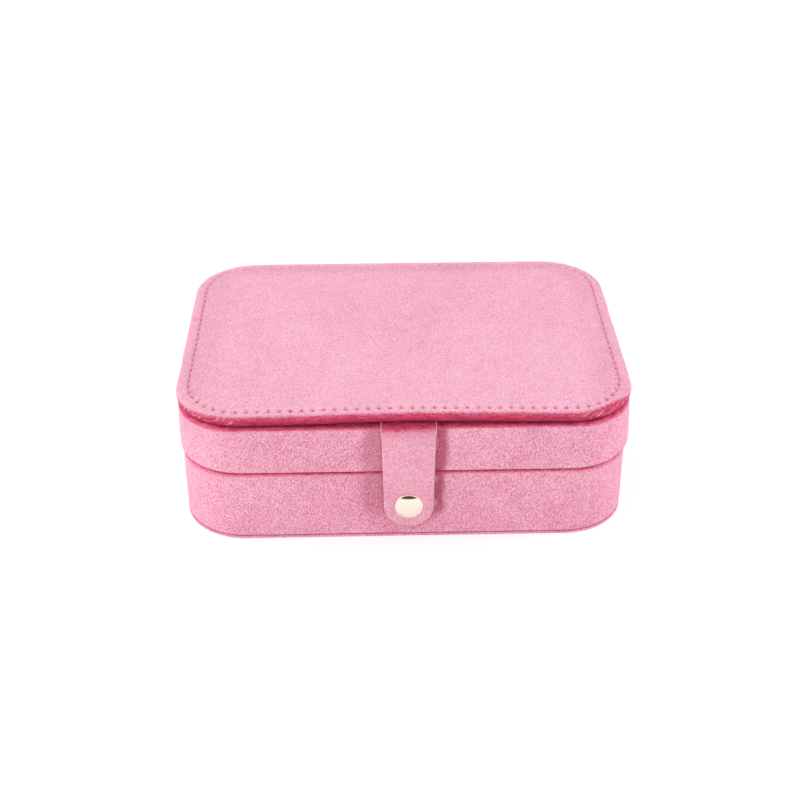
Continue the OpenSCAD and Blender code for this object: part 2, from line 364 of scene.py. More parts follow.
def pale_gold(name):
    """Polished pale gold with fine wear."""
    n = Nodes(name)
    haze = n.noise(n.place(), 2.2 * MM, 4.0, 0.6)
    scratches = n.noise(n.place((1.0, 1.0, 9.0)), 0.5 * MM, 2.0, 0.6)
    colour = n.mix(n.remap(haze, 0.35, 0.65), (0.88, 0.77, 0.65), (0.92, 0.82, 0.71))
    n.set(Base_Color=colour, Roughness=n.remap(haze, 0.3, 0.7, 0.06, 0.13), Metallic=1.0)
    n.bump(scratches, 0.004 * MM, 0.2)
    return n.material


def mirror_glass(name):
    """Silvered mirror with the faintest haze."""
    n = Nodes(name)
    haze = n.noise(n.place(), 22 * MM, 4.0, 0.6)
    colour = n.mix(haze, (0.86, 0.89, 0.90), (0.90, 0.92, 0.93))
    n.set(Base_Color=colour, Roughness=n.remap(haze, 0.4, 0.8, 0.015, 0.05), Metallic=1.0)
    return n.material


def grey_board(name):
    """Pressed board with specks and fibres."""
    n = Nodes(name)
    specks = n.noise(n.place(), 0.6 * MM, 4.0, 0.7)
    fibres = n.noise(n.place((1.0, 6.0, 1.0)), 3 * MM, 3.0, 0.6)
    colour = n.mix(n.remap(fibres, 0.3, 0.7), (0.46, 0.39, 0.30), (0.60, 0.53, 0.42))
    colour = n.mix(n.remap(specks, 0.55, 0.75, 0.0, 0.5), colour, (0.24, 0.20, 0.15))
    n.set(Base_Color=colour, Roughness=0.9, Specular_IOR_Level=0.2)
    n.bump(specks, 0.1 * MM, 0.5)
    return n.material


def foam(name):
    """Off-white foam with open cells."""
    n = Nodes(name)
    cells = n.new("TexVoronoi", Vector=n.place(), Scale=1 / (0.9 * MM)).outputs["Distance"]
    # darker in the middle of each open cell, painted shade in its hollow
    n.set(Base_Color=n.mix(cells, (0.62, 0.58, 0.50), (0.86, 0.83, 0.76)), Roughness=0.95,
          Specular_IOR_Level=0.1)
    n.bump(cells, 0.3 * MM, 0.7)
    return n.material


LID_PINK = (0.665, 0.330, 0.428)
WALL_PINK = (0.735, 0.322, 0.436)
STRAP_PINK = (0.745, 0.345, 0.455)
INNER_PINK = (0.690, 0.315, 0.420)
# colour of painted shadow and shade, also of flattened pile under the strap
SHADE_AND_PRESSED = (0.430, 0.105, 0.168)
CRIMSON = (0.500, 0.047, 0.114)
# painted shade: the crimson darkened for the roll's underside and the gap under it
SHADED_CRIMSON = (0.370, 0.024, 0.072)
RIM_CRIMSON = (0.600, 0.092, 0.172)
# painted shade: the rims' crimson darkened in the seams and gaps
RIM_SHADED_CRIMSON = (0.540, 0.046, 0.118)
# painted shade: the strap's crimson darkened at its bend under the lid's rolled edge
STRAP_SHADED_CRIMSON = (0.270, 0.022, 0.060)
# colour of cut edges and of painted highlights
EDGE_AND_HIGHLIGHT = (0.780, 0.450, 0.545)
TOP_VELVET = velvet("velvet_top", LID_PINK, CRIMSON, SHADED_CRIMSON,
                    grain_size=0.42 * MM, grain_stretch=(1.0, 0.55, 1.0), contrast=0.30, mottle=0.05)
WALL_VELVET = velvet("velvet_wall", WALL_PINK, RIM_CRIMSON, RIM_SHADED_CRIMSON,
                     grain_size=0.29 * MM, grain_stretch=(1.0, 1.0, 0.36), contrast=0.50, mottle=0.06)
STRAP_VELVET = velvet("velvet_strap", STRAP_PINK, CRIMSON, STRAP_SHADED_CRIMSON,
                      grain_size=0.32 * MM, grain_stretch=(1.0, 1.0, 0.6), contrast=0.40, mottle=0.06)
INNER_VELVET = velvet("velvet_inner", INNER_PINK, RIM_CRIMSON, RIM_SHADED_CRIMSON,
                      grain_size=0.45 * MM, grain_stretch=(1.0, 1.0, 0.7), contrast=0.40, mottle=0.06)
THREAD = thread("thread_pink", (0.60, 0.25, 0.34))
GOLD = pale_gold("gold_polished")
MIRROR = mirror_glass("mirror_silvered")
BOARD = grey_board("board_grey")
FOAM = foam("foam_cells")


# ---- lid ----

STITCH_IN = 4.6 * MM         # stitch line, in from the lid's edge
FRONT_NEARER = 1.7 * MM      # how much nearer the edge it runs along the front
STITCH_PITCH = 4.0 * MM
CROWN = 0.50 * MM            # how much the soft middle stands over the rolled edge
GROOVE = 0.34 * MM           # depth of the sewn groove, which is shallower along the front
CREASE = 2.9 * MM            # how far the creases run in from the needle holes
LID_LIFT = 1.25 * MM         # how far the strap's root pushes the lid's front edge up
FINE_STEP = 0.45 * MM
lid_outline = Outline(lid_high.x, lid_high.y, CORNER_R, FINE_STEP)
lid_front = np.clip(-lid_outline.normal[:, 1], 0, 1)     # 1 along the front, and 0 along the sides and back
lid_back = np.clip(lid_outline.normal[:, 1], 0, 1)
lid_sides = np.abs(lid_outline.normal[:, 0])
stitch_in = STITCH_IN - FRONT_NEARER * lid_front ** 2
stitch_run, stitch_length = lid_outline.lengths(STITCH_IN)
stitch_count = round(stitch_length / STITCH_PITCH)
stitch_pitch = stitch_length / stitch_count


def lid_lift(points):
    """Raises the middle of the lid's front edge, where the strap's root lies under it."""
    reach = smooth(-points[..., 1], CORNER_Y + 4 * MM, -lid_low.y)
    points[..., 2] += LID_LIFT * reach * bump(points[..., 0], STRAP_X, 43 * MM)
    return points


def lid_top(inset):
    """Height of the lid's top over its flat level, from the rolled edge to the soft middle."""
    crown = CROWN * (1 - np.exp(-np.maximum(inset - ROLL_R, 0) / (9 * MM)))
    groove = GROOVE * (1 - 0.6 * lid_front) * bump(inset[:, None], stitch_in, 0.55 * MM)
    return crown[:, None] - groove


def stitch_marks(inset):
    """Pits at the needle holes and the creases that run in from them, as relief, as painted shade in the
    pits, the creases and the groove along the sides, and as a painted highlight on the puffs.
    """
    across = ((stitch_run / stitch_pitch) % 1 - 0.5)[None] * stitch_pitch
    off = inset[:, None] - stitch_in
    taper = 1 - np.maximum(off, 0) / CREASE
    hole = bump(off, 0.1 * MM, (0.7 + 0.5 * lid_front) * MM) * bump(across, 0, (0.5 + 0.25 * lid_front) * MM)
    crease = bump(across, 0, 0.80 * MM * np.clip(taper, 0.05, 1)) * np.clip(taper, 0, 1) * (off > 0)
    puff = bump(off, 1.3 * MM, 1.1 * MM) * (1 - bump(across, 0, 1.2 * MM))
    relief = -(0.22 + 0.16 * lid_front) * MM * hole - 0.30 * MM * crease + 0.24 * MM * puff
    seam = bump(off, 0, 0.4 * MM) * lid_sides ** 2
    # painted shade in the pits and creases, and in the groove along the sides
    nap_and_shade = (0.10 + 0.20 * lid_front) * hole + (0.08 + 0.14 * lid_front) * crease + 0.18 * seam
    return relief, nap_and_shade, 0.5 * lid_front * puff


def seam_shade(inset):
    """Painted shade beside the stitches at the sides, and in a wider band at the back."""
    off = inset[:, None] - stitch_in
    outside = 0.05 + 0.17 * np.exp(np.minimum(off, 0) / (1.5 * MM))
    inside = 0.20 * np.exp(-np.maximum(off, 0) / (0.9 * MM)) + 0.14 * (1 - smooth(off, 5 * MM, 14 * MM))
    band = smooth(inset, 3.2 * MM, 5.4 * MM) * (1 - smooth(inset, 7.5 * MM, 15 * MM))
    return lid_sides ** 2 * np.where(off < 0, outside, inside) + 0.21 * lid_back ** 2 * band[:, None]


def nap_and_shade_on_roll(angle):
    """How end on the pile shows at an angle round the rolled edge, from 0 on top to pi underneath, with
    painted shade on the roll's lower side and a faint painted highlight low on the front.

    It starts soonest along the front and at the right front corner.
    """
    degrees = np.degrees(angle)[:, None]
    turn = np.degrees(np.arctan2(lid_outline.normal[:, 0], -lid_outline.normal[:, 1]))
    start = 20 + 60 * (1 - lid_front) - 30 * bump(turn, 42, 20)
    nap_and_shade = 0.5 * smooth(degrees, start, start + 46 - 10 * (1 - lid_front))
    # painted shade: the second stage deepens the crimson over the roll's lower side
    nap_and_shade = nap_and_shade + 0.5 * smooth(degrees, 68, 128)
    # a faint painted highlight line low on the front roll, where the pile shines at its silhouette
    return nap_and_shade - 0.08 * bump(degrees, 146, 7) * lid_front


def gathers(angle):
    """Small slanting gathers low on the roll, where the velvet is drawn round the two front corners."""
    turn = np.degrees(np.arctan2(lid_sides, -lid_outline.normal[:, 1]))
    corner = smooth(turn, 0, 10) * (1 - smooth(turn, 52, 70))
    middle = math.radians(92)
    low = bump(angle, middle, math.radians(34))[:, None]
    slant = (angle[:, None] - middle) * ROLL_R * 1.4

    def wave(along, across):
        return np.sin(stitch_run / (along * MM) + slant / (across * MM))

    sway = 1.6 * wave(1.3, 0.5) + 1.2 * wave(3.1, -0.7)
    fold = np.sin(2 * math.pi * (stitch_run + slant) / (1.9 * MM) + sway)
    patchy = 0.45 + 0.5 * wave(0.9, 0.6) + 0.5 * wave(2.3, -1.1)
    return low * corner * np.clip(patchy, 0, 1) * np.clip(fold - 0.2, 0, 1) / 0.8


def make_lid_cover():
    """Velvet over foam: rolled edge, sewn groove and soft top, as one skin with a turned-in hem."""
    middle_z = lid_low.z + ROLL_R
    angles = np.linspace(math.pi, 0, 31)
    sewn_end = 7.5 * MM               # rows are close together out to here
    hem = [(3.15 * MM, lid_low.z + 1.2 * MM), (3.1 * MM, lid_low.z + 0.3 * MM)]
    roll = [(ROLL_R - ROLL_R * math.sin(a), middle_z + ROLL_R * math.cos(a)) for a in angles]
    sewn = np.linspace(ROLL_R, sewn_end, 29)[1:]
    middle = sewn_end + (lid_high.y - sewn_end) * np.linspace(0, 1, 19)[1:] ** 1.3
    insets = np.concatenate([sewn, middle])
    profile = hem + roll + [(i, lid_high.z) for i in insets]
    points = swept(lid_outline, profile)
    inset = np.array([p[0] for p in profile])
    angle = np.concatenate([np.full(len(hem), math.pi), angles, np.zeros(len(insets))])
    on_top = (angle == 0)[:, None]
    upper = (angle < math.radians(69))[:, None]
    relief, marks, puff_highlight = stitch_marks(inset)
    points[..., 2] += (lid_top(inset) + relief + 0.07 * MM * ripple(points, 21 * MM, 3)) * on_top
    folds = gathers(angle)
    wobble = 0.09 * MM * ripple(points, 16 * MM, 5) * (inset < ROLL_R)[:, None] + 0.10 * MM * folds
    points[..., :2] += wobble[..., None] * lid_outline.normal[None]
    lid_lift(points)
    # crimson with painted shade under the roll and in the stitch marks, and painted shade beside the seam
    paint = {"nap_and_shade": nap_and_shade_on_roll(angle) + marks * on_top, "shade_and_pressed": seam_shade(inset) * upper,
             # painted highlights on the crests of the gathered folds and on the puffs
             "edge": 1.2 * folds + puff_highlight * on_top}
    cover = mesh_object("lid_velvet", points, paint=paint)
    dress(cover, TOP_VELVET, "lid", ["lid_cover"])


def stitch(start, end, radius, sag, sides=6, rows=7):
    """One thread stitch between two holes, bowed up between them, as a closed tube."""
    start, end = np.array(start), np.array(end)
    along = (end - start) / np.linalg.norm(end - start)
    side = np.cross(along, (0, 0, 1))
    turn = np.linspace(0, 2 * math.pi, sides, endpoint=False)
    rings = []
    for t in np.linspace(0, 1, rows):
        centre = start + (end - start) * t
        centre[2] += sag * (math.sin(math.pi * t) ** 0.6 - 1)
        thick = radius * (0.35 + 0.65 * math.sin(math.pi * min(max(t, 0.02), 0.98)) ** 0.35)
        rings.append(centre + thick * (np.outer(np.cos(turn), side) + np.outer(np.sin(turn), (0, 0, 1))))
    return np.array(rings)


def make_stitching():
    """The run of stitches all round the lid, down in the sewn groove."""
    line = lid_outline.at(0) - lid_outline.normal * stitch_in[:, None]
    line = np.insert(line, 2, lid_high.z - 0.36 * MM, axis=1)

    def on_line(distance):
        """The stitch line's point at a distance along it."""
        return [np.interp(distance, stitch_run, axis, period=stitch_length) for axis in line.T]

    holes = (np.arange(stitch_count) + 0.5) * stitch_pitch
    bite = 0.30 * MM                  # from a hole to the thread's end in it
    pieces = []
    for k, hole in enumerate(holes):
        start, end = ((hole + offset) % stitch_length for offset in (bite, stitch_pitch - bite))
        tube = stitch(on_line(start), on_line(end), radius=0.17 * MM, sag=0.45 * MM)
        pieces.append(mesh_object(f"stitch_{k}", lid_lift(tube), caps=True))
    dress(joined("lid_stitching", pieces), THREAD, "lid")


def make_mirror():
    """Mirror plate with a ground bevel round its face."""
    half_y = mirror_high.y
    outline = Outline(mirror_high.x, half_y, 14 * MM, 2 * MM)
    back, face = mirror_high.z, mirror_low.z
    profile = [(half_y, back), (0.3 * MM, back), (0, back - 0.3 * MM), (0, face + 0.6 * MM),
               (0.1 * MM, face + 0.45 * MM), (2.4 * MM, face + 0.04 * MM), (2.6 * MM, face), (half_y, face)]
    plate = mesh_object("mirror_bevelled", swept(outline, profile))
    plate.data.polygons.foreach_set("use_smooth", [False] * len(plate.data.polygons))
    dress(plate, MIRROR, "lid", ["lid_mirror"])


def make_lid_lining():
    """Padded velvet border inside the lid, from the rolled edge in to a lip over the mirror."""
    outer = Outline(lid_high.x, lid_high.y, CORNER_R, 1.6 * MM)
    lip = 1.2 * MM
    inner = Outline(mirror_high.x - lip, mirror_high.y - lip, 13 * MM, 1.6 * MM)
    share = np.linspace(0, 1, len(inner.base), endpoint=False)
    wanted = np.linspace(0, 1, len(outer.base), endpoint=False)
    inner_line = np.column_stack([np.interp(wanted, share, inner.at(0)[:, a], period=1) for a in range(2)])
    outer_line = outer.at(2.9 * MM)
    # Share of the way in, and height over the lining's underside in millimetres.
    section = [(0, 1.0), (0, 0.35), (0.03, 0.12), (0.08, -0.02), (0.2, -0.06), (0.35, -0.08), (0.5, -0.09),
               (0.65, -0.09), (0.8, -0.07), (0.92, -0.02), (0.97, 0.04), (1.0, 0.14), (1.0, 0.19)]
    points = np.array([np.insert(outer_line * (1 - t) + inner_line * t, 2, lid_lining_low.z + z * MM, axis=1)
                       for t, z in section])
    share_in = np.array([t for t, _ in section])[:, None]
    from_edge = np.linalg.norm(points[..., :2] - outer_line, axis=2)
    points[..., 2] += 0.22 * MM * bump(from_edge, 1.5 * MM, 0.8 * MM)
    lid_lift(points[:1])              # the tucked edge follows the lid's lifted skin
    # the tucked outer edge is painted shaded crimson: painted shade in the gap under the rolled edge
    border = mesh_object("lid_lining_velvet", points, paint={"nap_and_shade": 1.0 * (share_in < 0.06)})
    dress(border, INNER_VELVET, "lid", ["lid_lining"])


# ---- walls ----

def wrapped_profile(low_z, high_z, depth, round_r):
    """Closed profile of velvet round a wall, with its edges folded in over and under the frame by depth."""
    folded = 0.35 * MM                # thickness of the folded edges
    cover = 0.8 * MM                  # thickness of the padded side
    arc = np.linspace(0, math.pi / 2, 7)
    top = [(round_r - round_r * math.cos(a), high_z - round_r + round_r * math.sin(a)) for a in arc]
    bottom = [(round_r - round_r * math.sin(a), low_z + round_r - round_r * math.cos(a)) for a in arc]
    near_rim = np.array([0.3, 0.7, 1.1, 1.6, 2.2, 3.0, 4.0]) * MM
    inner = np.linspace(low_z + round_r + 5.2 * MM, high_z - round_r - 5.2 * MM, 10)
    heights = np.concatenate([low_z + round_r + near_rim, inner, high_z - round_r - near_rim[::-1]])
    side = [(0.0, z) for z in heights]
    end = depth - STAND_OFF
    inside = cover - STAND_OFF
    return ([(end, low_z + folded), (end, low_z + 0.05 * MM), (end - 0.2 * MM, low_z)] + bottom + side + top
            + [(end - 0.2 * MM, high_z), (end, high_z - 0.05 * MM), (end, high_z - folded),
               (inside, high_z - folded), (inside, low_z + folded)])


def strap_shadow_and_press(points):
    """How dark the front wall is painted: flattened pile under the strap, and painted shadow of the strap
    beside it, mostly on its right.
    """
    x, z = points[..., 0] - STRAP_X, points[..., 2]
    half = STRAP_W / 2
    tip_z = strap_low.z + half
    out = np.hypot(x, np.minimum(z - tip_z, 0)) - half + 0.45 * MM * ripple(points, 7 * MM, 91)
    high_up = smooth(z, 16 * MM, 42 * MM)
    right = 1 - smooth(out, (2.3 + 0.9 * high_up) * MM, (4.4 + 1.5 * high_up) * MM)
    narrow = 1 - 0.35 * smooth(z, 43 * MM, 48 * MM)
    left = 0.55 * (1 - smooth(out, 5.0 * MM * narrow, 10.5 * MM * narrow))
    side = smooth(x, -0.5 * half, 0.5 * half)
    beside = left + (right - left) * side
    low_down = smooth(tip_z - z, 0, half)
    beside = beside * (1 - 0.75 * low_down)
    # flattened pile under the strap, painted shadow beside it
    return np.where(out < 0, 0.35, beside) * (points[..., 1] < -CORNER_Y)


def make_wall_cover(body, prefix, low, high, seed, rim_nap_and_shade, flare=0.0):
    """Velvet stretched round one tier, slightly uneven, with soft rims and a flare at its lower right.

    Its rim argument gives the crimson along the upper rim, how far down that fades, and the crimson along
    the lower rim: pile seen end on over the rims, with painted shade in the seams and under the lid.
    """
    outline = Outline(high.x, high.y, concentric_radius(high), 1.0 * MM)
    round_r = 0.95 * MM
    profile = wrapped_profile(low.z, high.z, 2.8 * MM, round_r)
    points = swept(outline, profile)
    inset = np.array([p[0] for p in profile])
    z = points[..., 2]
    middle = bump(z, (low.z + high.z) / 2, (high.z - low.z) * 0.45)
    broad, fine = ripple(points, 26 * MM, seed), ripple(points, 7 * MM, seed + 1)
    swell = (0.09 * MM * broad + 0.03 * MM * fine) * middle + 0.16 * MM * middle
    right, left = np.clip(outline.normal[:, 0], 0, 1), np.clip(-outline.normal[:, 0], 0, 1)
    swell += flare * (right + 0.3 * left)[None] * smooth(-z, -high.z, -low.z)
    fixed = np.clip(1 - inset / (1.6 * MM), 0, 1)[:, None]
    outer_side = (np.arange(len(profile)) < len(profile) - 2)[:, None]
    points[..., :2] += (swell * fixed * outer_side)[..., None] * outline.normal[None]
    rim = (z > high.z - round_r) | (z < low.z + round_r)
    points[..., 2] += np.where(rim, 0.05 * MM * ripple(points, 30 * MM, seed + 2), 0)
    # crimson along the rims: pile seen end on, and painted shade in the seams and gaps, wider at the sides
    upper_nap_and_shade, fade, lower_nap_and_shade = rim_nap_and_shade
    fade = fade * (1 + 1.4 * np.abs(outline.normal[:, 0]))[None]
    upper = upper_nap_and_shade * np.clip((z - high.z + fade) / (fade - 0.2 * MM), 0, 1)
    lower = lower_nap_and_shade * smooth(-z, -low.z - 0.5 * round_r, -low.z - 0.05 * MM)
    lower = lower * (1 - 0.8 * smooth(inset, 0.5 * MM, 1.5 * MM))[:, None]
    paint = {"nap_and_shade": np.maximum(upper, lower), "shade_and_pressed": strap_shadow_and_press(points)}
    cover = mesh_object(f"{body}_velvet", points, wrap_rows=True, paint=paint)
    dress(cover, WALL_VELVET, body, [f"{prefix}_cover"])


def make_wall_lining(body, prefix, seed):
    """Velvet lining inside one tier's wall, with a soft upper edge."""
    node = f"{prefix}_lining"
    low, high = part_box(node)
    outline = Outline(high.x, high.y, concentric_radius(high), 1.6 * MM)
    thick = 0.8 * MM
    half = thick / 2
    arc = np.linspace(0, math.pi, 7)
    top = [(half - half * math.cos(a), high.z - half + half * math.sin(a)) for a in arc]
    face = [(thick, z) for z in np.linspace(high.z - thick, low.z + 0.3 * MM, 9)[1:]]
    profile = [(STAND_OFF, low.z + 0.3 * MM)] + top + face
    points = swept(outline, profile)
    inset = np.array([p[0] for p in profile])
    swell = 0.07 * MM * ripple(points, 18 * MM, seed) * (inset > 0.75 * thick)[:, None]
    points[..., :2] -= np.abs(swell)[..., None] * outline.normal[None]
    # crimson along the upper edge, with painted shade where it lies in the gap under the part above
    nap_and_shade = 0.7 * smooth(points[..., 2], high.z - 1.2 * MM, high.z - 0.3 * MM)
    lining = mesh_object(f"{body}_lining_velvet", points, wrap_rows=True, paint={"nap_and_shade": nap_and_shade})
    dress(lining, INNER_VELVET, body, [node])


def make_bottom_panel():
    """Thin velvet panel with a rounded edge, flush with the wall over it."""
    half_x, half_y = bottom_high.x + 0.1 * MM, bottom_high.y + 0.15 * MM
    outline = Outline(half_x, half_y, concentric_radius(bottom_high), 1.0 * MM)
    top = bottom_high.z - OVERHANG
    r = (top - bottom_low.z) / 2
    arc = np.linspace(0, math.pi, 11)
    bulge = 0.6 * r
    edge = [(bulge - bulge * math.sin(a), bottom_low.z + r - r * math.cos(a)) for a in arc]
    under = [(i, bottom_low.z) for i in (half_y, 30 * MM, 6 * MM)]
    over = [(2.9 * MM, top), (3.0 * MM, bottom_high.z), (half_y, bottom_high.z)]
    profile = under + edge + over
    points = swept(outline, profile)
    # a crimson line along the top edge: painted shade where the wall comes down over the panel
    nap_and_shade = 0.25 * smooth(points[..., 2], top - 0.55 * MM, top - 0.1 * MM)
    panel = mesh_object("bottom_panel_velvet", points, paint={"nap_and_shade": nap_and_shade})
    dress(panel, WALL_VELVET, "box", ["bottom_panel"])


# ---- inside the tiers ----

def room_grid(low, high, radius, step):
    """Points over a floor whose corners are round, as rows along X that follow its outline."""
    ys = np.linspace(low.y, high.y, max(3, round((high.y - low.y) / step)))
    share = np.linspace(-1, 1, max(3, round((high.x - low.x) / step)))
    past = np.maximum(np.abs(ys) - (high.y - radius), 0)
    half = high.x - radius + np.sqrt(np.maximum(radius ** 2 - past ** 2, 0))
    x = share[None] * half[:, None]
    return np.stack([x, np.broadcast_to(ys[:, None], x.shape), np.zeros_like(x)], axis=2)


def border_of(grid):
    """The points round a grid's border, in order."""
    return np.concatenate([grid[0, :-1], grid[:-1, -1], grid[-1, :0:-1], grid[:0:-1, 0]])


def make_floor_pad(body, prefix, dividers, seed):
    """Padded velvet floor, crowned in each room and pulled down along the walls and dividers."""
    node = f"{prefix}_floor_pad"
    low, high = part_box(node)
    radius = concentric_radius(high)
    points = room_grid(low, high, radius, 1.5 * MM)
    x, y = points[..., 0], points[..., 1]
    past_x = np.maximum(np.abs(x) - (high.x - radius), 0)
    past_y = np.maximum(np.abs(y) - (high.y - radius), 0)
    from_corner = np.where((past_x > 0) & (past_y > 0), radius - np.hypot(past_x, past_y), high.x)
    away = np.minimum(np.minimum(high.x - np.abs(x), high.y - np.abs(y)), from_corner)
    for d in dividers:
        d_low, d_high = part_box(d)
        gap_x = np.maximum(np.maximum(d_low.x - x, x - d_high.x), 0)
        gap_y = np.maximum(np.maximum(d_low.y - y, y - d_high.y), 0)
        away = np.minimum(away, np.hypot(gap_x, gap_y))
    away = np.maximum(away, 0)
    rise = 0.62 + 0.38 * (1 - np.exp(-away / (2.6 * MM)))
    uneven = 0.06 * MM * ripple(points, 15 * MM, seed) * smooth(away, 0, 6 * MM)
    points[..., 2] = low.z + (high.z - low.z) * rise + uneven
    skirt = points.copy()
    skirt[..., 2] = low.z + STAND_OFF
    upper = mesh_object("pad_top", points, wrap_columns=False)
    side = mesh_object("pad_side", np.array([border_of(points), border_of(skirt)]))
    pad = joined(f"{body}_floor_velvet", [upper, side])
    weld(pad.data)
    dress(pad, INNER_VELVET, body, [node])


def make_divider(node, body, along, seed):
    """Board wrapped in velvet, round on top, along X (0) or Y (1)."""
    low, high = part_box(node)
    across = 1 - along
    half = (high[across] - low[across]) / 2
    middle = (high[across] + low[across]) / 2
    arc = np.linspace(0, math.pi, 11)
    side = [(half, z) for z in np.linspace(low.z, high.z - half, 6)[:-1]]
    top = [(half * math.cos(a), high.z - half + half * math.sin(a)) for a in arc]
    section = side + top + [(-w, z) for w, z in reversed(side)]
    rows = []
    for s in np.linspace(low[along] + STAND_OFF, high[along] - STAND_OFF, 48):
        row = np.zeros((len(section), 3))
        row[:, along] = s
        row[:, across] = [middle + w for w, _ in section]
        row[:, 2] = [z for _, z in section]
        rows.append(row)
    points = np.array(rows)
    swell = 0.06 * MM * ripple(points, 12 * MM, seed)
    points[..., across] += swell * np.sign(points[..., across] - middle)
    points[..., 2] += 0.08 * MM * ripple(points, 25 * MM, seed + 1) * smooth(points[..., 2], low.z, high.z)
    nap_and_shade = 0.25 * smooth(points[..., 2], high.z - 0.9 * half, high.z)
    wrapped = mesh_object(node + "_velvet", points, caps=True, paint={"nap_and_shade": nap_and_shade})
    dress(wrapped, INNER_VELVET, body, [node])


def make_rooms(body, prefix, dividers, seed):
    """One tier's padded floor and its dividers, as {node: axis that it runs along, X (0) or Y (1)}."""
    make_floor_pad(body, prefix, dividers, seed)
    for k, (divider, along) in enumerate(dividers.items()):
        make_divider(divider, body, along, seed + 35 + 2 * k)


def make_ring_roll(node, seed):
    """Foam roll covered in velvet, a little squashed by its neighbours, with tucked ends."""
    low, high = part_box(node)
    centre_y, centre_z = (low.y + high.y) / 2, (low.z + high.z) / 2
    radius = (high.z - low.z) / 2
    sides, lengthwise = 36, 38
    turn = np.linspace(0, 2 * math.pi, sides, endpoint=False)
    sharp = 0.86                      # below 1 squares the round section off a little
    round_y = np.sign(np.cos(turn)) * np.abs(np.cos(turn)) ** sharp
    round_z = np.sign(np.sin(turn)) * np.abs(np.sin(turn)) ** sharp
    end_share = np.array([0.1, 0.45, 0.75, 0.93, 1.0])
    end_depth = np.array([0, 0.15, 0.5, 1.1, 2.0]) * MM
    share = np.concatenate([end_share, np.ones(lengthwise), end_share[::-1]])
    straight = np.linspace(low.x + 3 * MM, high.x - 3 * MM, lengthwise)
    xs = np.concatenate([low.x + end_depth, straight, high.x - end_depth[::-1]])
    points = np.array([np.column_stack([np.full(sides, x), centre_y + radius * k * round_y,
                                        centre_z + radius * k * round_z]) for x, k in zip(xs, share)])
    uneven = 0.11 * MM * ripple(points, 13 * MM, seed) - 0.08 * MM
    points[..., 1] += uneven * round_y
    points[..., 2] += uneven * round_z
    # darker crimson towards the underside
    nap_and_shade = 0.35 * smooth(centre_z - points[..., 2], 0, radius)
    roll = mesh_object(node + "_velvet", points, caps=True, paint={"nap_and_shade": nap_and_shade})
    dress(roll, INNER_VELVET, "tray", [node])


def make_tray_underside():
    """Velvet under the tray, with a pressed line round it where its edge is turned under."""
    low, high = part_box("tray_underside")
    outline = Outline(high.x, high.y, concentric_radius(high), 1.6 * MM)
    near_edge, middle = np.linspace(1, 8, 15) * MM, np.linspace(12 * MM, high.y, 12)
    insets = np.concatenate([[0.05 * MM, 0.3 * MM], near_edge, middle])
    line = 0.14 * MM * bump(insets, 3.2 * MM, 0.5 * MM)
    profile = [(STAND_OFF, high.z)] + [(i, low.z + 0.02 * MM + d) for i, d in zip(insets, line)]
    cloth = mesh_object("tray_underside_velvet", swept(outline, profile))
    dress(cloth, INNER_VELVET, "tray", ["tray_underside"])


# ---- strap and snap ----

def walk(path, step):
    """Evenly spaced points and outward normals along a (y, z) path, with the distance to each."""
    path = np.array(path)
    run = np.concatenate([[0], np.cumsum(np.linalg.norm(np.diff(path, axis=0), axis=1))])
    s = np.linspace(0, run[-1], max(2, round(run[-1] / step)))
    p = np.column_stack([np.interp(s, run, path[:, k]) for k in range(2)])
    tangent = np.gradient(p, axis=0)
    tangent /= np.linalg.norm(tangent, axis=1)[:, None]
    return s, p, np.column_stack([tangent[:, 1], -tangent[:, 0]])


def strap_path(middle_y):
    """Line of the strap's middle layer: flat under the lid, over a soft bend, and straight down."""
    bend_r = 2.1 * MM
    bend_y, bend_z = middle_y + bend_r, tray_high.z - 1.0 * MM
    arc = np.linspace(0, math.pi / 2, 13)
    bend = [(bend_y - bend_r * math.sin(a), bend_z + bend_r * math.cos(a)) for a in arc]
    return [(bend_y + 5.5 * MM, bend_z + bend_r)] + bend + [(middle_y, strap_low.z)]


